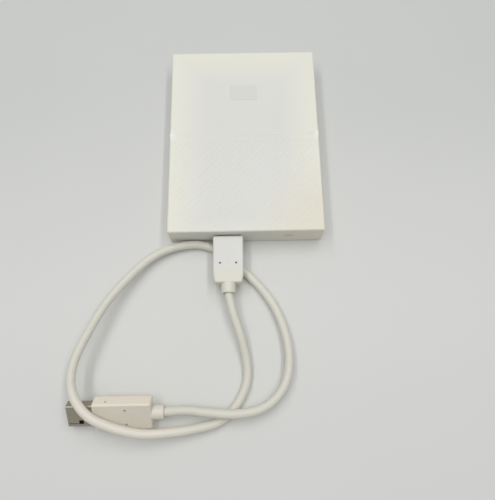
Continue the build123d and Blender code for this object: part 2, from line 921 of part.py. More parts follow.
def data_cable():
    """Straight runs joined by arcs that are as large as the runs allow."""
    start = [(port_offset, y, port_level) for y in (cable_start_y, cable_start_y - cable_end_run)]
    end = [(x, flat_plug_y, flat_plug_level) for x in (cable_end_x + cable_end_run, cable_end_x)]
    points = [Vector(*point) for point in start + cable_points + end]
    radii = []
    for before, corner, after in zip(points, points[1:], points[2:]):
        run_in = corner - before
        run_out = after - corner
        half_turn = radians(run_in.get_angle(run_out) / 2)
        radii.append(cable_arc_share * min(run_in.length, run_out.length) / tan(half_turn))
    path = FilletPolyline(*points, radius=radii)
    section = Plane(path @ 0, z_dir=path % 0) * RegularPolygon(cable_diameter / 2, cable_sides)
    tube = sweep(section, path=path)
    print("cable radii", [round(radius, 1) for radius in radii])
    volume_share = tube.volume / section.area / path.length
    print("cable length", round(path.length, 1), "volume share", round(volume_share, 4))
    return tube


nodes = {
    "top_cover": top_cover(),
    "bottom_tray": bottom_tray(),
    "rubber_feet": rubber_feet(),
    "bumper_front_left": bumper(-1, False),
    "bumper_front_right": bumper(1, False),
    "bumper_rear_left": bumper(-1, True),
    "bumper_rear_right": bumper(1, True),
    "light_pipe": light_pipe(),
    "base_casting": base_casting(),
    "mechanism_lid": mechanism_lid(),
    "lid_gasket": lid_gasket(),
    "bearing_sleeve": bearing_sleeve(),
    "motor_stator": motor_stator(),
    "spindle_hub": spindle_hub(),
    "rotor_magnet": rotor_magnet(),
    "platter": platter(),
    "disk_clamp": disk_clamp(),
    "pivot_shaft": pivot_shaft(),
    "pivot_sleeve": pivot_sleeve(),
    "actuator_arm": actuator_arm(),
    "voice_coil": voice_coil(),
    "lower_suspension": suspension(-1),
    "upper_suspension": suspension(1),
    "head_sliders": head_sliders(),
    "lower_yoke": lower_yoke(),
    "upper_yoke": upper_yoke(),
    "lower_magnet": coil_magnet(-1),
    "upper_magnet": coil_magnet(1),
    "crash_stops": crash_stops(),
    "load_ramp": load_ramp(),
    "air_filter": filter_block(0),
    "flex_ribbon": flex_ribbon(),
    "ribbon_bracket": ribbon_bracket(),
    "circuit_board": circuit_board(),
    "board_film": board_film(),
    "controller_chip": controller_chip(),
    "memory_chip": memory_chip(),
    "driver_chip": driver_chip(),
    "activity_lamp": activity_lamp(),
    "port_shell": port_shell(),
    "port_tongue": port_tongue(),
    "front_plug_end": front_plug_end(),
    "front_plug_moulding": front_plug_moulding(),
    "data_cable": data_cable(),
    "flat_plug_moulding": flat_plug_moulding(),
    "flat_plug_end": flat_plug_end(),
    "flat_plug_insulator": flat_plug_insulator(),
    "flat_plug_contacts": flat_plug_contacts(),
}

print("arm travel", round(arm_travel, 2), "spindle", spindle, "pivot", pivot)
print("case", 2 * outside_x, 2 * outside_y, case_top, "port level", port_level)
os.makedirs("parts", exist_ok=True)
for name, solid in nodes.items():
    export_step(solid, f"parts/{name}.step")
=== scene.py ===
# %% [markdown]
# A portable hard drive lies on a pale table with its data cable plugged in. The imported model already
# holds every solid piece at its real size, so this script only dresses it. It sets up a camera at the
# picture's viewing angle, draws the cable as one smooth curve, softens the grips of the plugs, adds small
# fittings inside, and gives each surface its finish. Lengths are in metres, in the frame of the packed
# model.

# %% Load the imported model
import json
import math

import bmesh
import bpy
from mathutils import Matrix, Vector


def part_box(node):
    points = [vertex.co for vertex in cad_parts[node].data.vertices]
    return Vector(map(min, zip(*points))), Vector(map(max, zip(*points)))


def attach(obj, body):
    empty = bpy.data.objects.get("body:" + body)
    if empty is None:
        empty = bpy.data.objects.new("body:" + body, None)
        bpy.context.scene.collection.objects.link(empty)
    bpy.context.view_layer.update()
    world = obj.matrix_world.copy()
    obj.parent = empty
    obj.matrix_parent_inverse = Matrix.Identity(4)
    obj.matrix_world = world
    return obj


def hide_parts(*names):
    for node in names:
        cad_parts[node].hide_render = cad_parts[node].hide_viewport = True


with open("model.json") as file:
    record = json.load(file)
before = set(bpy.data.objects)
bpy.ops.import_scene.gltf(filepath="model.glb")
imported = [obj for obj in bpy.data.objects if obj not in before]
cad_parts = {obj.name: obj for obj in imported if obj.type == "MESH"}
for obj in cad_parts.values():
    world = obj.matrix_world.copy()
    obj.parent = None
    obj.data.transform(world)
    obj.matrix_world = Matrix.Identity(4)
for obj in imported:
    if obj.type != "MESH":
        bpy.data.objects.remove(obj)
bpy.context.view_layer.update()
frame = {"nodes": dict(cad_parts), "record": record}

MM = 0.001
nodes = frame["nodes"]

# %% [markdown]
# The camera comes first, because every later choice is judged through it. The view was worked out from
# the case, whose sizes are known: the lens looks steeply down from in front of the port, a little to the
# left. A camera could be aimed with a constraint, but a matrix built from the three directions shows
# plainly what each number does, and it can hold a small roll.

# %% Directions of the camera
camera_azimuth = math.radians(-0.987)
camera_elevation = math.radians(73.033)
camera_roll = math.radians(-0.053)
back = Vector((
    math.sin(camera_azimuth) * math.cos(camera_elevation),
    -math.cos(camera_azimuth) * math.cos(camera_elevation),
    math.sin(camera_elevation),
))
level_right = Vector((math.cos(camera_azimuth), math.sin(camera_azimuth), 0.0))
level_up = back.cross(level_right)
right = math.cos(camera_roll) * level_right + math.sin(camera_roll) * level_up
up = back.cross(right)
print("camera looks along", [round(-x, 3) for x in back])


# %% Camera
def put(name, data):
    """A new object with this data, in the scene."""
    thing = bpy.data.objects.new(name, data)
    bpy.context.scene.collection.objects.link(thing)
    return thing


camera_target = Vector((0.609, -60.067, 0.0)) * MM
camera_distance = 253.06 * MM
picture_height_px = 500  # the picture's longer side, which Blender fits to the width of the sensor
focal_length_px = 466.56
sensor_width_mm = 36.0
nearest_seen = 1 * MM
camera_data = bpy.data.cameras.new("camera")
camera_data.sensor_width = sensor_width_mm
camera_data.lens = focal_length_px * sensor_width_mm / picture_height_px
camera_data.clip_start = nearest_seen
camera = put("camera", camera_data)
turn = Matrix((right, up, back)).transposed().to_4x4()
camera.matrix_world = Matrix.Translation(camera_target + camera_distance * back) @ turn
bpy.context.scene.camera = camera
print("camera stands at", [round(x / MM) for x in camera.matrix_world.translation], "mm")

# %% [markdown]
# The cable is a round vinyl cord with copper inside, which lies in wide, smooth bends. Its route is a
# short list of points chosen from the picture, in the order in which the cable runs. A mesh tube
# could follow the route, but a NURBS curve keeps the line smooth with few points and stays easy to
# change.

# %% Route of the cable
cable_route_mm = [
    # out of the front plug and down to the table
    (-9.5, -85.5, 8.4), (-7.9, -94, 8.4), (-3.7, -106, 6.4), (-1.1, -116.5, 3.4), (-0.1, -125.5, 2.3),
    # to the left along the front, rising
    (-2.5, -134.8, 2.3), (-11.8, -147.3, 2.5), (-27.5, -150.6, 5),
    (-41.6, -151.7, 7.7), (-51.3, -151.9, 9.8),
    # over the metal end of the loose plug
    (-64.6, -148.4, 12.8), (-76, -142.8, 15.1), (-83.4, -132, 15.3), (-83.9, -119.4, 14.6),
    # back along the left side and down to the table
    (-78, -104.3, 12.8), (-70.8, -89.1, 10.4), (-61.1, -75.9, 7.5), (-50.4, -64.3, 5.2), (-37, -58.1, 3.8),
    # under the front plug
    (-20.5, -57, 2.4), (-4.5, -69, 2.3), (11.1, -85.7, 2.9),
    # round the right side
    (18.4, -101.7, 4), (20.8, -117.2, 5), (18.5, -130.8, 6), (8.8, -141.3, 7),
    # over its own start and into the loose plug
    (-5, -144.1, 7.9), (-19.5, -142.9, 8), (-31.3, -141.1, 7.6), (-40.3, -142.1, 7.15),
]
print("cable route has", len(cable_route_mm), "points")

# %% Curve of the cable
cable_diameter = 4.4 * MM
cable_data = bpy.data.curves.new("cable", "CURVE")
cable_data.dimensions = "3D"
cable_line = cable_data.splines.new("NURBS")
cable_line.points.add(len(cable_route_mm) - 1)
for point, place in zip(cable_line.points, cable_route_mm):
    point.co = (*(Vector(place) * MM), 1.0)
cable_line.order_u = 3
cable_line.use_endpoint_u = True
cable_line.resolution_u = 12
cable_data.bevel_depth = cable_diameter / 2
cable_data.bevel_resolution = 6
cable_data.use_fill_caps = True
cable = put("cable", cable_data)

# %% [markdown]
# Every finish below is a small tree of shader nodes. Its colours are written as hex values, as a picture
# editor shows them, but Blender reckons in linear light, so one function converts them. The nodes could
# be wired by hand in the shader editor. In code, one function that adds any node with its settings and
# links keeps a finish short.


# %% Helpers for colours and nodes
def linear(hex_colour):
    """An sRGB hex colour as linear red, green, blue and alpha."""
    channels = [int(hex_colour[start:start + 2], 16) / 255 for start in (1, 3, 5)]
    return [c / 12.92 if c <= 0.04045 else ((c + 0.055) / 1.055) ** 2.4 for c in channels] + [1.0]


def add(tree, kind, settings=None, inputs=None):
    """Adds a node. An input that is given an output socket is linked, and any other is set."""
    node = tree.nodes.new("ShaderNode" + kind)
    for name, value in (settings or {}).items():
        setattr(node, name, value)
    for name, value in (inputs or {}).items():
        if isinstance(value, bpy.types.NodeSocket):
            tree.links.new(value, node.inputs[name])
        else:
            node.inputs[name].default_value = value
    return node


print("middle grey in linear light", [round(c, 3) for c in linear("#808080")])

# %% [markdown]
# The room light is soft. Three kinds of source give it: an even dim sky, one wide panel overhead, and two
# long tubes that run away from the camera, one on each side, because the picture shows a narrow shadow on
# both sides of the drive. A sky picture could light it too, but plain lamps are easier to balance. The
# camera, and anything shiny or clear, sees a pale backdrop in place of the sky.


# %% Sky
LARGER = {"operation": "MAXIMUM"}


def direct_view(tree):
    """1 for rays from the camera, off a shiny surface or through a clear one, and 0 for other light."""
    rays = add(tree, "LightPath").outputs
    direct = add(tree, "Math", LARGER, {0: rays["Is Camera Ray"], 1: rays["Is Glossy Ray"]}).outputs[0]
    return add(tree, "Math", LARGER, {0: direct, 1: rays["Is Transmission Ray"]}).outputs[0]


sky_light = 0.38
sky_colour = linear("#f9fbff")
backdrop_colour = linear("#cfcfcb")
world = bpy.data.worlds.new("studio")
bpy.context.scene.world = world
world.use_nodes = True
tree = world.node_tree
dim_sky = add(tree, "Background", None, {"Color": sky_colour, "Strength": sky_light})
backdrop = add(tree, "Background", None, {"Color": backdrop_colour, "Strength": 1.0})
sky = add(tree, "MixShader", None, {0: direct_view(tree), 1: dim_sky.outputs[0], 2: backdrop.outputs[0]})
tree.links.new(sky.outputs[0], tree.nodes["World Output"].inputs["Surface"])
bpy.context.scene.view_settings.view_transform = "Standard"
print("sky strength", sky_light)

# %% Lamps
lamps = {
    "panel": {"power": 1.6, "width": 0.6, "length": 0.6, "place": (-0.09, 0.05, 0.7)},
    "left_tube": {"power": 0.8, "width": 0.05, "length": 0.7, "place": (-0.223, 0.06, 0.6)},
    "right_tube": {"power": 1.05, "width": 0.05, "length": 0.7, "place": (0.193, 0.06, 0.6)},
}
for name, values in lamps.items():
    lamp_data = bpy.data.lights.new(name, "AREA")
    lamp_data.shape = "RECTANGLE"
    lamp_data.size = values["width"]
    lamp_data.size_y = values["length"]
    lamp_data.energy = values["power"]
    put(name, lamp_data).location = values["place"]
    print(name, values["power"], "W")

# %% [markdown]
# The drive lies on matt white paper. A sheet with a thickness could be modelled, but only its upper side
# shows, so a grid of one square will do, wide enough to reach past the edges of the view. Its tone is
# slightly uneven all over, which noise gives, and a soft step in depth makes it greyer towards the rear.
# That step is painted shade, for the lamps' light that falls off towards the rear.


# %% Table top
def to_mesh(name, shape):
    """A mesh from a finished shape, which is then freed."""
    mesh = bpy.data.meshes.new(name)
    shape.to_mesh(mesh)
    shape.free()
    return mesh


table_reach = 1.5
sheet = bmesh.new()
bmesh.ops.create_grid(sheet, x_segments=1, y_segments=1, size=table_reach)
table_top = put("table_top", to_mesh("table_top", sheet))
print("table top", table_reach * 2, "m wide")


# %% Paper
def start_material(name):
    """A new material with one plain shader."""
    material = bpy.data.materials.new(name)
    material.use_nodes = True
    print("material", name)
    return material


COLOURS = {"data_type": "RGBA"}
TONE, OTHER_TONE, MIXED = 6, 7, 2  # the colour sockets of a Mix node: its two inputs and its result
SOFT_STEP = {"interpolation_type": "SMOOTHSTEP"}
blotch_mm = 90
# Towards the rear the paper is painted greyer: painted shade, for light that falls off with distance.
painted_shade_from, painted_shade_to = -0.11, 0.06
near_tones, far_tones = ("#d9d9d5", "#dcdcd8"), ("#cacbc8", "#cecfcc")
# Paper is matt: it takes soft shadows and gives back no reflection.
paper = start_material("matt white paper")
table_top.data.materials.append(paper)
tree = paper.node_tree
shader = tree.nodes["Principled BSDF"]
place = add(tree, "TexCoord").outputs["Object"]
blotches = add(tree, "TexNoise", None, {
    "Vector": place, "Scale": 1 / (blotch_mm * MM), "Detail": 2.0,
}).outputs[0]
near, far = [
    add(tree, "Mix", COLOURS, {
        "Factor": blotches, TONE: linear(one), OTHER_TONE: linear(other),
    }).outputs[MIXED]
    for one, other in (near_tones, far_tones)
]
depth = add(tree, "SeparateXYZ", None, {0: place}).outputs["Y"]
share = add(tree, "MapRange", SOFT_STEP, {"Value": depth, "From Min": painted_shade_from, "From Max": painted_shade_to})
mixed = add(tree, "Mix", COLOURS, {"Factor": share.outputs[0], TONE: near, OTHER_TONE: far})
tree.links.new(mixed.outputs[MIXED], shader.inputs["Base Color"])
shader.inputs["Roughness"].default_value = 0.85
print("paper turns greyer from", painted_shade_from, "to", painted_shade_to, "m")

# %% [markdown]
# Paper that curves up behind an object leaves no horizon. The curve could be modelled, but then other
# views would meet a wall. So the sheet stays flat and, far away, shows the camera the backdrop's own
# colour. Near the drive it keeps the shadows.

# %% Sweep of the table into the backdrop
sweep_from, sweep_to = 0.3, 1.0
reach = add(tree, "VectorMath", {"operation": "LENGTH"}, {0: place}).outputs["Value"]
sweep = add(tree, "MapRange", SOFT_STEP, {"Value": reach, "From Min": sweep_from, "From Max": sweep_to})
share = add(tree, "Math", {"operation": "MULTIPLY"}, {0: sweep.outputs[0], 1: direct_view(tree)})
far_paper = add(tree, "Emission", None, {"Color": backdrop_colour, "Strength": 1.0})
swept = add(tree, "MixShader", None, {0: share.outputs[0], 1: shader.outputs[0], 2: far_paper.outputs[0]})
tree.links.new(swept.outputs[0], tree.nodes["Material Output"].inputs["Surface"])
print("sweep from", sweep_from, "to", sweep_to, "m")

# %% [markdown]
# Most pieces are moulded from plastic or rubber. What the eye sees on such a surface is a slow drift of
# tone, a fine grain from the mould, and gloss that is never quite even. Painted textures could show that,
# but noise in the object's own coordinates needs no unwrapping. One function makes the finish from two
# tones and three sizes, and each material gives it the values of the real thing. A real mould's grain is
# often finer than a pixel, so the grains here are drawn a few times coarser, just enough to show. Rubber
# is the first use.


# %% Finish of moulded pieces, and rubber
DRIFT_LOW, DRIFT_HIGH = 0.3, 0.7  # noise seldom leaves this range
GLOSS_SPREAD = 0.06


def moulded(name, tones, roughness, grain_mm, depth_mm, drift_mm):
    """Plastic, rubber and the like: two close tones that drift into each other, and a fine grain."""
    material = start_material(name)
    tree = material.node_tree
    shader = tree.nodes["Principled BSDF"]
    place = add(tree, "TexCoord").outputs["Object"]
    drift = add(tree, "TexNoise", None, {"Vector": place, "Scale": 1 / (drift_mm * MM), "Detail": 3.0})
    share = add(tree, "MapRange", None, {
        "Value": drift.outputs[0], "From Min": DRIFT_LOW, "From Max": DRIFT_HIGH,
    })
    mixed = add(tree, "Mix", COLOURS, {
        "Factor": share.outputs[0], TONE: linear(tones[0]), OTHER_TONE: linear(tones[1]),
    })
    grain = add(tree, "TexNoise", None, {
        "Vector": place, "Scale": 1 / (grain_mm * MM), "Detail": 2.0,
    }).outputs[0]
    gloss = add(tree, "MapRange", None, {
        "Value": grain, "To Min": roughness - GLOSS_SPREAD, "To Max": roughness + GLOSS_SPREAD,
    })
    bump = add(tree, "Bump", None, {"Height": grain, "Distance": depth_mm * MM, "Strength": 1.0})
    tree.links.new(mixed.outputs[MIXED], shader.inputs["Base Color"])
    tree.links.new(gloss.outputs[0], shader.inputs["Roughness"])
    tree.links.new(bump.outputs[0], shader.inputs["Normal"])
    return material


finishes = {}
# Moulded rubber is grey and dull, and shows no clear reflection.
finishes["soft_rubber"] = moulded(
    "grey rubber", ("#4c4c4b", "#565654"),
    roughness=0.85, grain_mm=0.25, depth_mm=0.01, drift_mm=8)
# Die-cut foam is almost black, because its cells swallow the light.
finishes["gasket_rubber"] = moulded(
    "black foam rubber", ("#1e1e1e", "#262626"),
    roughness=0.9, grain_mm=0.2, depth_mm=0.02, drift_mm=5)

# %% [markdown]
# The case is ABS, moulded against a fine spark-eroded texture that makes it look almost matt. Its tone
# turns a little lighter and warmer towards the edges of the top. A painted mask could say where, but the
# distance from the middle of the case, read from Object coordinates, already does.


# %% Case plastic
def object_place(tree):
    """The output that tells where a point lies on the object."""
    return tree.nodes["Texture Coordinate"].outputs["Object"]


case_low, case_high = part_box("top_cover")
case_half = (case_high - case_low) / 2
# Spark-eroded white ABS is a soft white with a broad, faint shine.
finishes["case_plastic"] = moulded(
    "white ABS", ("#d8d7d1", "#dbdbd5"),
    roughness=0.5, grain_mm=0.35, depth_mm=0.004, drift_mm=60)
tree = finishes["case_plastic"].node_tree
axes = add(tree, "SeparateXYZ", None, {0: object_place(tree)}).outputs
outward = add(tree, "Math", {"operation": "ABSOLUTE"}, {0: axes["X"]}).outputs[0]
print("case", [round(2 * x / MM, 1) for x in case_half.xy], "mm")


# %% Warmer edges of the case
def lay_over(tree, share, hex_colour):
    """Turns a finish towards a colour, as far as the share says."""
    base = tree.nodes["Principled BSDF"].inputs["Base Color"]
    below = base.links[0].from_socket
    mixed = add(tree, "Mix", COLOURS, {"Factor": share, TONE: below, OTHER_TONE: linear(hex_colour)})
    tree.links.new(mixed.outputs[MIXED], base)


warm_tone = "#e3e1d4"
warm_band = 24 * MM
front_warm_band = 10 * MM
front_warmth = 0.5
near_side = add(tree, "MapRange", SOFT_STEP, {
    "Value": outward, "From Min": case_half.x - warm_band, "From Max": case_half.x,
})
near_rear = add(tree, "MapRange", SOFT_STEP, {
    "Value": axes["Y"], "From Min": case_half.y - warm_band, "From Max": case_half.y,
})
near_front = add(tree, "MapRange", SOFT_STEP, {
    "Value": axes["Y"], "From Min": front_warm_band - case_half.y, "From Max": -case_half.y,
    "To Max": front_warmth,
})
near_end = add(tree, "Math", LARGER, {0: near_rear.outputs[0], 1: near_front.outputs[0]})
near_edge = add(tree, "Math", LARGER, {0: near_side.outputs[0], 1: near_end.outputs[0]})
lay_over(tree, near_edge.outputs[0], warm_tone)
print("warmer over", warm_band / MM, "mm, and over", front_warm_band / MM, "mm at the front")

# %% [markdown]
# The front corner right of the port has yellowed more than the rest, as ABS does unevenly with age. The
# patch has no edge, so it needs no painted mask either: a soft ball of colour round the corner has just a
# place and a reach.

# %% Aged front corner
aged_tone = "#dfdaca"
aged_from, aged_full = 46 * MM, 8 * MM
aged_corner = (case_half.x, -case_half.y, case_high.z)
away = add(tree, "VectorMath", {"operation": "DISTANCE"}, {0: object_place(tree), 1: aged_corner})
aged = add(tree, "MapRange", SOFT_STEP, {
    "Value": away.outputs["Value"], "From Min": aged_from, "From Max": aged_full,
})
lay_over(tree, aged.outputs[0], aged_tone)
print("aged corner reaches", aged_from / MM, "mm")

# %% [markdown]
# Each end of the fold across the top catches a small bright glint, which is painted on here as a painted
# highlight. Two spots could be drawn, one at each end. Measuring across the case without its sign makes one
# spot serve for both.

# %% Painted glints at the ends of the fold
glint_tone = "#f0f0eb"
glint_reach = 4.4 * MM
fold_y = 1.0 * MM
fold_end = (case_half.x, fold_y, case_high.z)
mirrored = add(tree, "CombineXYZ", None, {"X": outward, "Y": axes["Y"], "Z": axes["Z"]}).outputs[0]
away = add(tree, "VectorMath", {"operation": "DISTANCE"}, {0: mirrored, 1: fold_end})
# A painted highlight: a small glint at each end of the fold.
stretched = add(tree, "MapRange", SOFT_STEP, {
    "Value": away.outputs["Value"], "From Min": glint_reach, "From Max": 0.0,
})
lay_over(tree, stretched.outputs[0], glint_tone)
print("white ends reach", glint_reach / MM, "mm")

# %% [markdown]
# The cable's jacket and the plugs are soft vinyl, which is a little shinier than the case and has gone
# cream with age. The stretch of jacket that passes in front of the loose plug and over it is painted paler:
# painted light, as more light falls on that stretch. The plug in the drive has yellowed at its rear, where
# fingers pull it. A colour ramp along each piece could show that, but it needs unwrapping. A soft step
# along one direction of the frame looks the same.

# %% Vinyl of the cable
painted_light_tone = "#e3dccf"
painted_light_way = (-0.3, -0.95, 0.0)
painted_light_from, painted_light_full = 146 * MM, 158 * MM
# Extruded vinyl is cream and smooth, and a soft streak of light runs along it.
finishes["cable_vinyl"] = moulded(
    "cream vinyl jacket", ("#d3d1c4", "#dbd8cb"),
    roughness=0.48, grain_mm=0.6, depth_mm=0.006, drift_mm=45)
tree = finishes["cable_vinyl"].node_tree
# The paler stretch is painted light, not a change in the jacket.
along = add(tree, "VectorMath", {"operation": "DOT_PRODUCT"}, {0: object_place(tree), 1: painted_light_way})
pale = add(tree, "MapRange", SOFT_STEP, {
    "Value": along.outputs["Value"], "From Min": painted_light_from, "From Max": painted_light_full,
})
lay_over(tree, pale.outputs[0], painted_light_tone)
print("jacket turns pale over", round((painted_light_full - painted_light_from) / MM), "mm")

# %% Vinyl of the plug in the drive
handled_tone = "#dad8c9"
handled_from, handled_full = -68 * MM, -80 * MM
# Moulded vinyl is paler than the jacket, and its low gloss leaves a soft light along the edges.
finishes["moulding_vinyl"] = moulded(
    "pale vinyl", ("#d7d6d0", "#dad9d4"),
    roughness=0.45, grain_mm=0.4, depth_mm=0.006, drift_mm=20)
tree = finishes["moulding_vinyl"].node_tree
along = add(tree, "SeparateXYZ", None, {0: object_place(tree)}).outputs["Y"]
handled = add(tree, "MapRange", SOFT_STEP, {
    "Value": along, "From Min": handled_from, "From Max": handled_full,
})
lay_over(tree, handled.outputs[0], handled_tone)
print("plug yellows over", round((handled_from - handled_full) / MM), "mm")

# %% [markdown]
# The other pieces of this kind are small or hidden: films, chips, connectors, the head sliders, a filter
# and two clear pieces. Each could have a tree of its own, but they differ mostly in tone and gloss, so
# they share the moulded finish. A clear piece also lets some light through.

# %% Hidden plastics
# Acetal is creamy, and looks waxy where it is polished by sliding.
finishes["ramp_plastic"] = moulded(
    "natural acetal", ("#d8d2c0", "#e0dac9"),
    roughness=0.4, grain_mm=0.3, depth_mm=0.003, drift_mm=6)
# Drawn polyester film is flat and black, with a soft reflection.
finishes["film_sheet"] = moulded(
    "black polyester film", ("#19191a", "#202021"),
    roughness=0.3, grain_mm=0.8, depth_mm=0.002, drift_mm=15)
# Epoxy moulded round a chip is black and sandy.
finishes["chip_epoxy"] = moulded(
    "black moulded epoxy", ("#252526", "#2d2d2e"),
    roughness=0.6, grain_mm=0.12, depth_mm=0.004, drift_mm=4)
# Moulded nylon is stiff and half glossy, and dark enough for the contacts to stand out.
finishes["port_plastic"] = moulded(
    "black nylon", ("#1b1b1c", "#232324"),
    roughness=0.45, grain_mm=0.2, depth_mm=0.003, drift_mm=4)
finishes["insulator_plastic"] = moulded(
    "dark nylon", ("#3b3934", "#47443e"),
    roughness=0.45, grain_mm=0.2, depth_mm=0.003, drift_mm=4)

# %% Ceramic and felt
# Lapped ceramic is black and nearly a mirror.
finishes["slider_ceramic"] = moulded(
    "black ceramic", ("#232326", "#2c2c30"),
    roughness=0.16, grain_mm=0.1, depth_mm=0.0005, drift_mm=2)
# Pressed felt is white and fuzzy, with no gloss at all.
finishes["filter_cloth"] = moulded(
    "white felt", ("#d5d4cf", "#e3e2de"),
    roughness=0.93, grain_mm=0.25, depth_mm=0.05, drift_mm=2)

# %% Clear pieces
# A polycarbonate light pipe is grey and cloudy, so that only a lit lamp shows through it.
finishes["light_plastic"] = moulded(
    "smoky polycarbonate", ("#b3b3ae", "#bbbbb6"),
    roughness=0.35, grain_mm=0.5, depth_mm=0.001, drift_mm=5)
shader = finishes["light_plastic"].node_tree.nodes["Principled BSDF"]
shader.inputs["Transmission Weight"].default_value = 0.25
shader.inputs["IOR"].default_value = 1.58
# The cast epoxy of the lamp is clearer and brighter.
finishes["lamp_epoxy"] = moulded(
    "clear lamp epoxy", ("#e6e6de", "#ecece6"),
    roughness=0.2, grain_mm=0.5, depth_mm=0.001, drift_mm=2)
shader = finishes["lamp_epoxy"].node_tree.nodes["Principled BSDF"]
shader.inputs["Transmission Weight"].default_value = 0.6

# %% [markdown]
# Metal pieces differ in how they were made: rolled sheet has fine lines along one direction, a turned
# piece has lines round its axis, and a casting has a dull grain. Each could have a texture of its own,
# but stretching one noise pattern gives all three, so the function takes a grain size for each direction.
# Real lines are finer than a pixel, so they are drawn wider, just enough to show. The platings come
# first. The end of the plug has a dull one, with fine scratches along its length.


# %% Finish of metal pieces, and platings
def worked_metal(name, tones, roughness, grain_mm, depth_mm, gloss_spread=0.08):
    """Bare or plated metal, with a grain of three sizes along X, Y and Z."""
    material = start_material(name)
    tree = material.node_tree
    shader = tree.nodes["Principled BSDF"]
    place = add(tree, "TexCoord").outputs["Object"]
    scale = [1 / (size * MM) for size in grain_mm]
    stretched = add(tree, "Mapping", None, {"Vector": place, "Scale": scale}).outputs[0]
    grain = add(tree, "TexNoise", None, {"Vector": stretched, "Scale": 1.0, "Detail": 3.0}).outputs[0]
    mixed = add(tree, "Mix", COLOURS, {
        "Factor": grain, TONE: linear(tones[0]), OTHER_TONE: linear(tones[1]),
    })
    gloss = add(tree, "MapRange", None, {
        "Value": grain, "To Min": roughness - gloss_spread, "To Max": roughness + gloss_spread,
    })
    bump = add(tree, "Bump", None, {"Height": grain, "Distance": depth_mm * MM, "Strength": 1.0})
    shader.inputs["Metallic"].default_value = 1.0
    tree.links.new(mixed.outputs[MIXED], shader.inputs["Base Color"])
    tree.links.new(gloss.outputs[0], shader.inputs["Roughness"])
    tree.links.new(bump.outputs[0], shader.inputs["Normal"])
    return material


# Dull nickel is a warm grey that blurs everything it reflects.
finishes["plug_plating"] = worked_metal(
    "dull nickel plate", ("#969184", "#aca79a"),
    roughness=0.52, grain_mm=(3.0, 0.3, 0.3), depth_mm=0.002)
# Bright nickel on a magnet is smooth and pale, with faint clouds.
finishes["magnet_plating"] = worked_metal(
    "bright nickel plate", ("#a9a59b", "#bcb8ae"),
    roughness=0.24, grain_mm=(0.8, 0.8, 0.8), depth_mm=0.002)
# Gold is a warm yellow that stays bright in shadow.
finishes["contact_gold"] = worked_metal(
    "gold plate", ("#c79d4c", "#d9b466"),
    roughness=0.25, grain_mm=(1.0, 0.1, 0.1), depth_mm=0.001)

# %% Metals of the mechanism
# A casting is grey and dull, with an even grain.
finishes["cast_aluminium"] = worked_metal(
    "die-cast aluminium", ("#75777a", "#8b8d90"),
    roughness=0.55, grain_mm=(0.6, 0.6, 0.6), depth_mm=0.02)
# Rolled sheet has fine lines along it, which draw reflections into streaks.
finishes["stamped_steel"] = worked_metal(
    "rolled stainless steel", ("#9b9da0", "#b0b2b4"),
    roughness=0.3, grain_mm=(0.15, 6.0, 0.15), depth_mm=0.002)
# Turned steel has bands of gloss round its upright axis.
finishes["turned_steel"] = worked_metal(
    "turned steel", ("#95979b", "#a8aaae"),
    roughness=0.26, grain_mm=(4.0, 4.0, 0.1), depth_mm=0.003)
# Stacked sheets show dark edges, one above the other.
finishes["core_steel"] = worked_metal(
    "stacked core steel", ("#4a4b4e", "#6a6b6f"),
    roughness=0.5, grain_mm=(3.0, 3.0, 0.2), depth_mm=0.02)
# Enamelled wire is red-brown, with a sparkle on each turn.
finishes["copper_winding"] = worked_metal(
    "enamelled copper wire", ("#8f4f2a", "#b0693c"),
    roughness=0.35, grain_mm=(0.2, 0.2, 0.2), depth_mm=0.02)

# %% [markdown]
# The disk is glass or aluminium polished to a mirror, with a thin sputtered coat. Its polishing leaves
# rings round the spindle, which draw each reflection out into a fan. A brushed look could come from
# anisotropy, but rings from a wave texture, centred on the spindle, also survive baking.

# %% Coating of the disk
WAVE_SPACING = math.pi / 10  # the distance between the lines of a wave texture, at a scale of 1
disk_low, disk_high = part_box("platter")
disk_middle = (disk_low + disk_high) / 2
ring_mm = 0.9  # the real rings are thousands of times finer, so they are drawn coarse enough to show
ring_tone = "#cfd1d5"
# A sputtered mirror is bright, and only its rings break the reflections.
finishes["disk_coating"] = worked_metal(
    "sputtered disk coating", ("#e2e4e7", "#eaecee"),
    roughness=0.105, grain_mm=(8, 8, 8), depth_mm=0.0002, gloss_spread=0.055)
tree = finishes["disk_coating"].node_tree
centred = add(tree, "Mapping", None, {"Vector": object_place(tree), "Location": -disk_middle}).outputs[0]
rings = add(tree, "TexWave", {"wave_type": "RINGS", "rings_direction": "Z"}, {
    "Vector": centred, "Scale": WAVE_SPACING / (ring_mm * MM),
    "Distortion": 0.6, "Detail": 2.0, "Detail Scale": 3.0,
}).outputs["Fac"]
gloss = tree.nodes["Principled BSDF"].inputs["Roughness"].links[0].from_node
tree.links.new(rings, gloss.inputs["Value"])
lay_over(tree, rings, ring_tone)
print("disk", round((disk_high - disk_low).x / MM, 1), "mm across, rings", ring_mm, "mm apart")

# %% [markdown]
# Two finishes have a drawn pattern. The board is green lacquer over copper, whose edges show through as
# fine lines, and the ribbon is amber film with copper lines along it. Both could be modelled line by
# line, but the copper is thinner than a hair, so a brick texture and a wave texture draw it, with lines
# of a usual size.

# %% Board
track_mm = 0.18
pad_mm = 2.4
# Lacquer is glossy and green, and paler along the edges of the copper.
finishes["board_laminate"] = moulded(
    "green lacquered board", ("#1d4a32", "#245a3d"),
    roughness=0.35, grain_mm=0.6, depth_mm=0.01, drift_mm=3)
tree = finishes["board_laminate"].node_tree
base = tree.nodes["Principled BSDF"].inputs["Base Color"]
tracks = add(tree, "TexBrick", None, {
    "Vector": object_place(tree), "Color1": base.links[0].from_socket,
    "Color2": linear("#1f5237"), "Mortar": linear("#2f6d4c"), "Scale": 1.0,
    "Mortar Size": track_mm * MM / 2, "Brick Width": 2 * pad_mm * MM, "Row Height": pad_mm * MM,
})
tree.links.new(tracks.outputs["Color"], base)
print("tracks", track_mm, "mm wide round fields of", pad_mm, "mm")

# %% Ribbon
line_mm = 0.3
line_tone = "#c98a45"
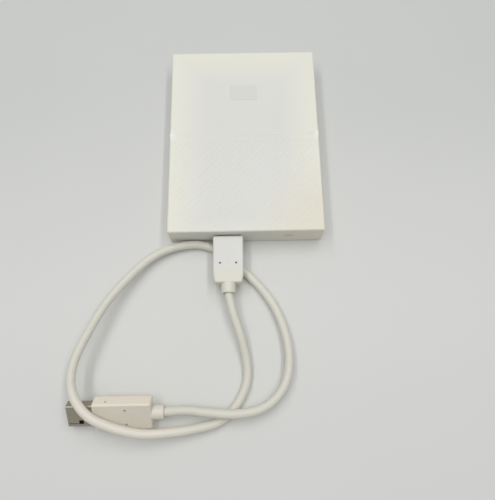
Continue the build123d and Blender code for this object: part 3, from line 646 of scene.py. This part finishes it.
# Polyimide is amber and glossy, and its copper lines catch the light.
finishes["ribbon_film"] = moulded(
    "amber polyimide film", ("#9a5a1c", "#ab6a26"),
    roughness=0.3, grain_mm=0.4, depth_mm=0.001, drift_mm=5)
tree = finishes["ribbon_film"].node_tree
lines = add(tree, "TexWave", {"bands_direction": "Z"}, {
    "Vector": object_place(tree), "Scale": WAVE_SPACING / (line_mm * MM),
}).outputs["Fac"]
lay_over(tree, lines, line_tone)
print("ribbon lines", line_mm, "mm apart")

# %% [markdown]
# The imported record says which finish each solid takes. The solids are already in place, so dressing one
# only fills its material slots. Materials could be set by hand, node by node, but the record can't forget
# one.

# %% Dress the solids
for entry in frame["record"]["subparts"]:
    for material_slot in nodes[entry["node"]].material_slots:
        material_slot.material = finishes[entry["material_slot"]]

# %% [markdown]
# The grips of both plugs are soft mouldings: a block with rounded edges that narrows a little at the
# rear, a round collar on the cable, and small pits where pins held the wires in the mould. A subdivided
# cube could give the form, but a bevel keeps the faces flat, as the real ones are. The plug in the drive
# is made first.


# %% Block of a grip
grip_edge = 1.0 * MM
grip_taper_length = 5.0 * MM
rear_height_share = 0.97
corner_angle = math.radians(40)


def round_edges(shape, edges, radius, segments):
    """Rounds edges in the way that a mould or a tool leaves them."""
    bmesh.ops.bevel(
        shape, geom=edges, offset=radius, segments=segments, profile=0.5, affect="EDGES", material=-1)


def grip_block(length, width, height, side_taper):
    """A block from x = 0 to -length, with rounded edges and a smaller rear."""
    shape = bmesh.new()
    bmesh.ops.create_cube(shape, size=1.0)
    bmesh.ops.scale(shape, vec=(length, width, height), verts=shape.verts)
    bmesh.ops.translate(shape, vec=(-length / 2, 0, 0), verts=shape.verts)
    everything = shape.verts[:] + shape.edges[:] + shape.faces[:]
    taper_start = grip_taper_length - length
    bmesh.ops.bisect_plane(shape, geom=everything, plane_co=(taper_start, 0, 0), plane_no=(1, 0, 0))
    rear = [vertex for vertex in shape.verts if vertex.co.x < taper_start - grip_edge]
    bmesh.ops.scale(shape, vec=(1, 1 - 2 * side_taper / width, rear_height_share), verts=rear)
    corners = [edge for edge in shape.edges if edge.calc_face_angle() > corner_angle]
    round_edges(shape, corners, grip_edge, segments=5)
    return shape


front_low, front_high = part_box("front_plug_moulding")
front_middle = (front_low + front_high) / 2
front_length, front_height = 25.1 * MM, 7.0 * MM
front_width = front_high.x - front_low.x
front_taper = 0.9 * MM
front_shape = grip_block(front_length, front_width, front_height, front_taper)
print("front block has", len(front_shape.faces), "faces")


# %% Collar of a grip
collar_rim = 0.4 * MM
collar_sink = 0.5 * MM
mouth_gap = 0.15 * MM
mouth_slope = 0.015 * MM
mouth_depth = 0.8 * MM


def nearest_face(shape, place):
    """The face whose middle lies nearest to a place."""
    return min(shape.faces, key=lambda face: (face.calc_center_median() - Vector(place)).length)


def add_collar(shape, length, radius, reach):
    """A round collar behind the block, with a soft rim and a mouth that the cable goes into."""
    end_place = (-length - reach, 0, 0)
    middle = Matrix.Translation((-length - (reach - collar_sink) / 2, 0, 0))
    bmesh.ops.create_cone(
        shape, cap_ends=True, segments=48, radius1=radius, radius2=radius, depth=reach + collar_sink,
        matrix=middle @ Matrix.Rotation(math.pi / 2, 4, "Y"))
    round_edges(shape, nearest_face(shape, end_place).edges[:], collar_rim, segments=3)
    end = nearest_face(shape, end_place)
    flat_rim = radius - collar_rim - cable_diameter / 2 - mouth_gap
    bmesh.ops.inset_region(shape, faces=[end], thickness=flat_rim)
    bmesh.ops.inset_region(shape, faces=[end], thickness=mouth_slope, depth=-mouth_depth)
    bmesh.ops.recalc_face_normals(shape, faces=shape.faces)


front_collar_radius = 3.7 * MM
front_collar_reach = front_high.y - front_low.y - front_length
add_collar(front_shape, front_length, front_collar_radius, front_collar_reach)
print("front collar reaches", round(front_collar_reach / MM, 1), "mm behind the block")


# %% Pits of a grip
pit_radius = 0.6 * MM
pit_depth = 1.8 * MM


def shade(mesh, sharp_degrees=35):
    """Smooth shading that keeps the sharp edges."""
    mesh.shade_smooth()
    mesh.set_sharp_from_angle(angle=math.radians(sharp_degrees))


def carve_pits(shape, pits):
    """The mesh of a shape with round pits, each given as its place and the way it faces."""
    cutter = bmesh.new()
    for place, facing in pits:
        aim = Vector(facing).to_track_quat("Z", "Y").to_matrix().to_4x4()
        bmesh.ops.create_cone(
            cutter, cap_ends=True, segments=24, radius1=pit_radius, radius2=pit_radius, depth=2 * pit_depth,
            matrix=Matrix.Translation(place) @ aim)
    block, tool = [put("carving", to_mesh("carving", source)) for source in (shape, cutter)]
    cut = block.modifiers.new("pits", "BOOLEAN")
    cut.operation = "DIFFERENCE"
    cut.object = tool
    cut.use_self = True
    carved = bpy.data.meshes.new_from_object(block.evaluated_get(bpy.context.evaluated_depsgraph_get()))
    for helper in (block, tool):
        bpy.data.objects.remove(helper)
    shade(carved)
    return carved


pit_spread = 4.1 * MM
front_pit_setback = 14.8 * MM
front_pits = [((-front_pit_setback, side * pit_spread, front_height / 2), (0, 0, 1)) for side in (-1, 1)]
front_mesh = carve_pits(front_shape, front_pits)
print("front grip has", len(front_pits), "pits")


# %% Grip of the plug in the drive
def add_piece(name, mesh, body, slot, material, *replaced):
    """Puts a finished mesh on a body, with its finish and the nodes that it stands for."""
    piece = put(name, mesh)
    mesh.materials.append(material)
    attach(piece, body)
    if replaced:
        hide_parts(*replaced)
    print(name, "has", len(mesh.polygons), "faces")
    return piece


front_face = Matrix.Translation((front_middle.x, front_high.y, front_middle.z))
front_mesh.transform(front_face @ Matrix.Rotation(math.pi / 2, 4, "Z"))
front_grip = add_piece(
    "front_plug_grip", front_mesh, "housing", "moulding_vinyl", finishes["moulding_vinyl"],
    "front_plug_moulding")
front_grip.modifiers.new("even shading", "WEIGHTED_NORMAL").keep_sharp = True

# %% [markdown]
# The loose plug leans on one long edge, so anything drawn on it has to follow its lean. Its own UV map
# could do that. A Mapping node of the texture kind is simpler: it turns the coordinates into the plug's
# own length, width and height. The first use is its vinyl, whose uppermost narrow side is painted lighter:
# a painted highlight for the light that falls on it from behind.


# %% Vinyl of the loose plug
loose_low, loose_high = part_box("flat_plug_moulding")
loose_middle = (loose_low + loose_high) / 2
loose_face = Vector((loose_low.x, loose_middle.y, loose_middle.z))
loose_roll = math.radians(39.2)


def loose_plug_axes(tree):
    """The length, width and height of the loose plug, measured from the front of its grip."""
    turned = add(tree, "Mapping", {"vector_type": "TEXTURE"}, {
        "Vector": object_place(tree), "Location": loose_face, "Rotation": (-loose_roll, 0, math.pi),
    })
    return add(tree, "SeparateXYZ", None, {0: turned.outputs[0]}).outputs


loose_length, loose_width, loose_height = 27.8 * MM, 15.0 * MM, 7.0 * MM
lit_side_tone = "#e8dfcd"
lit_side_depth = 1.0 * MM
# This vinyl is the most yellowed, a warm cream with a low gloss.
loose_vinyl = moulded(
    "cream vinyl", ("#dad4c5", "#dfd9cb"),
    roughness=0.45, grain_mm=0.4, depth_mm=0.006, drift_mm=14)
tree = loose_vinyl.node_tree
# The uppermost narrow side is painted lighter: painted light, not a change in the vinyl.
lit_side_share = add(tree, "MapRange", SOFT_STEP, {
    "Value": loose_plug_axes(tree)["Y"],
    "From Min": lit_side_depth - loose_width / 2, "From Max": -loose_width / 2,
})
lay_over(tree, lit_side_share.outputs[0], lit_side_tone)
print("loose plug leans", round(math.degrees(loose_roll), 1), "degrees")

# %% Grip of the loose plug
loose_taper = 0.2 * MM
loose_collar_radius = 3.4 * MM
loose_collar_reach = loose_high.x - loose_low.x - loose_length
wide_pit_setback = 15.6 * MM
side_pit_setback = 6.4 * MM
side_pit_drop = 1.0 * MM
loose_shape = grip_block(loose_length, loose_width, loose_height, loose_taper)
add_collar(loose_shape, loose_length, loose_collar_radius, loose_collar_reach)
loose_pits = [((-wide_pit_setback, side * pit_spread, loose_height / 2), (0, 0, 1)) for side in (-1, 1)]
loose_pits.append(((-side_pit_setback, -loose_width / 2, side_pit_drop), (0, -1, 0)))
loose_mesh = carve_pits(loose_shape, loose_pits)
lean = Matrix.Rotation(loose_roll, 4, "X") @ Matrix.Rotation(math.pi, 4, "Z")
loose_mesh.transform(Matrix.Translation(loose_face) @ lean)
loose_grip = add_piece(
    "flat_plug_grip", loose_mesh, "housing", "moulding_vinyl", loose_vinyl, "flat_plug_moulding")
loose_grip.modifiers.new("even shading", "WEIGHTED_NORMAL").keep_sharp = True

# %% [markdown]
# Each time a plug goes into a socket, a spring rubs along its metal end, from the mouth to the window
# that it drops into, and wears a dark line in the plating. A groove could be cut, but the line only
# changes the colour, so it belongs in the finish. In the plug's own directions it is a simple strip.

# %% Worn line on the loose plug's metal end
worn_tone = "#3f3a32"
window_front = 6.9 * MM
worn_side = 4.0 * MM
worn_width = 0.3 * MM  # wider than the real scrape, so that it shows
metal_length = loose_low.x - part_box("flat_plug_end")[0].x
worn_middle = (metal_length + window_front) / 2
worn_reach = (metal_length - window_front) / 2
tree = finishes["plug_plating"].node_tree
axes = loose_plug_axes(tree)
in_width = add(tree, "Math", {"operation": "COMPARE"}, {0: axes["Y"], 1: worn_side, 2: worn_width / 2})
in_length = add(tree, "Math", {"operation": "COMPARE"}, {0: axes["X"], 1: worn_middle, 2: worn_reach})
worn = add(tree, "Math", {"operation": "MULTIPLY"}, {0: in_width.outputs[0], 1: in_length.outputs[0]})
lay_over(tree, worn.outputs[0], worn_tone)
print("worn line", round(2 * worn_reach / MM, 1), "mm long")

# %% [markdown]
# The top carries one small plate with nothing on it. It is a thin sheet with rounded corners, set almost
# flush, so that only its edge and its flatter gloss show. It could be painted on, but a real edge catches
# the light by itself.

# %% Blank plate on the top
plate_low, plate_high = Vector((-7.6, 23.0)) * MM, Vector((7.5, 32.4)) * MM
plate_rise = 0.12 * MM
plate_corner = 1.2 * MM
plate_rim = 0.6 * plate_rise
plate_sharp_degrees = 20
top_level = case_high.z
plate = bmesh.new()
bmesh.ops.create_cube(plate, size=1.0)
bmesh.ops.scale(plate, vec=(*(plate_high - plate_low), 2 * plate_rise), verts=plate.verts)
bmesh.ops.translate(plate, vec=(*((plate_low + plate_high) / 2), top_level), verts=plate.verts)
upright = [edge for edge in plate.edges if abs(edge.verts[0].co.z - edge.verts[1].co.z) > plate_rise]
round_edges(plate, upright, plate_corner, segments=6)
rim = [edge for edge in plate.edges if all(vertex.co.z > top_level for vertex in edge.verts)]
round_edges(plate, rim, plate_rim, segments=2)
plate_mesh = to_mesh("blank_plate", plate)
shade(plate_mesh, plate_sharp_degrees)
# A smoother mould leaves the plate a shade flatter and greyer than the case.
plate_finish = moulded(
    "satin white ABS", ("#d3d2cd", "#d5d4cf"),
    roughness=0.5, grain_mm=0.5, depth_mm=0.002, drift_mm=12)
add_piece("blank_plate", plate_mesh, "housing", "case_plastic", plate_finish)

# %% [markdown]
# The cable is one cord with a plug on each end. Its curve takes the jacket's vinyl, rides with the
# housing, and takes the place of the imported cable, which is hidden.

cable_data.materials.append(finishes["cable_vinyl"])
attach(cable, "housing")
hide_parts("data_cable")

# %% [markdown]
# Inside the case the solids leave out small fasteners and wire. Screws hold the lid and the clamp. They
# don't show until the cover is hidden, but then they tell how the mechanism is held together. A thread
# and a shaped socket could be modelled, but at this size a low round head with a soft rim and a round
# socket is enough.


# %% Screws of the lid
rim_share, socket_depth_share = 0.3, 0.5  # of the head's height
socket_inset_share, socket_slope_share = 0.45, 0.02  # of the head's radius
sharp_angle = math.radians(69)  # no edge of a rounding is as sharp


def screw_heads(name, places, radius, height, body):
    """Low round heads with a soft rim and a socket, standing on their places."""
    heads = bmesh.new()
    rim_radius = rim_share * height
    for place in places:
        crown = place + Vector((0, 0, height))
        bmesh.ops.create_cone(
            heads, cap_ends=True, segments=24, radius1=radius, radius2=radius, depth=height,
            matrix=Matrix.Translation((place + crown) / 2))
        top = nearest_face(heads, crown)
        bmesh.ops.inset_region(heads, faces=[top], thickness=socket_inset_share * radius)
        bmesh.ops.inset_region(
            heads, faces=[top], thickness=socket_slope_share * radius, depth=-socket_depth_share * height)
        # The upper edges that are still sharp, apart from this head's own socket: its rim, and the
        # sockets of the heads before it.
        sharp_edges = [
            edge for edge in heads.edges
            if edge.calc_face_angle() > sharp_angle
            and all(vertex.co.z > crown.z - rim_radius for vertex in edge.verts)
            and all((vertex.co - crown).xy.length > radius - rim_radius for vertex in edge.verts)
        ]
        round_edges(heads, sharp_edges, rim_radius, segments=2)
    mesh = to_mesh(name, heads)
    shade(mesh)
    return add_piece(name, mesh, body, "turned_steel", finishes["turned_steel"])


lid_low, lid_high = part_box("mechanism_lid")
lid_middle = (lid_low + lid_high) / 2
lid_screw_inset = 3.2 * MM
lid_screw_side = 22 * MM
lid_screw_radius, lid_screw_height = 1.7 * MM, 0.6 * MM
lid_places = []
for side in (-1, 1):
    lid_places.append(Vector((side * (lid_high.x - lid_screw_inset), lid_middle.y, lid_high.z)))
    for y in (lid_low.y + lid_screw_inset, lid_high.y - lid_screw_inset):
        lid_places.append(Vector((side * lid_screw_side, y, lid_high.z)))
screw_heads("lid_screws", lid_places, lid_screw_radius, lid_screw_height, "housing")

# %% Screw of the clamp
clamp_low, clamp_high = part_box("disk_clamp")
spindle_axis = (clamp_low + clamp_high) / 2
clamp_screw_radius, clamp_screw_height = 2.6 * MM, 0.7 * MM
clamp_place = Vector((*spindle_axis.xy, clamp_high.z))
screw_heads("clamp_screw", [clamp_place], clamp_screw_radius, clamp_screw_height, "spindle")

# %% [markdown]
# Copper coils sit on the poles of the motor. Each could be wound as a curve, turn by turn, but only its
# outer form and its colour can be made out. So each is a short square block with soft edges, and the
# grain of the finish stands for the wire.

# %% Windings of the motor
stator_low, stator_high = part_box("motor_stator")
pole_count = 9
winding_near, winding_far = 5.3 * MM, 7.6 * MM
winding_width = 2.1 * MM
winding_edge = 0.45 * MM
windings = bmesh.new()
for pole in range(pole_count):
    made = bmesh.ops.create_cube(windings, size=1.0)["verts"]
    bmesh.ops.scale(windings, vec=(winding_far - winding_near, winding_width, winding_width), verts=made)
    bmesh.ops.translate(windings, vec=((winding_near + winding_far) / 2, 0, 0), verts=made)
    angle = Matrix.Rotation(2 * math.pi * pole / pole_count, 3, "Z")
    bmesh.ops.rotate(windings, cent=(0, 0, 0), matrix=angle, verts=made)
round_edges(windings, windings.edges[:], winding_edge, segments=3)
stator_middle = Vector((*spindle_axis.xy, (stator_low.z + stator_high.z) / 2))
bmesh.ops.translate(windings, vec=stator_middle, verts=windings.verts)
winding_mesh = to_mesh("stator_windings", windings)
shade(winding_mesh)
add_piece("stator_windings", winding_mesh, "housing", "copper_winding", finishes["copper_winding"])
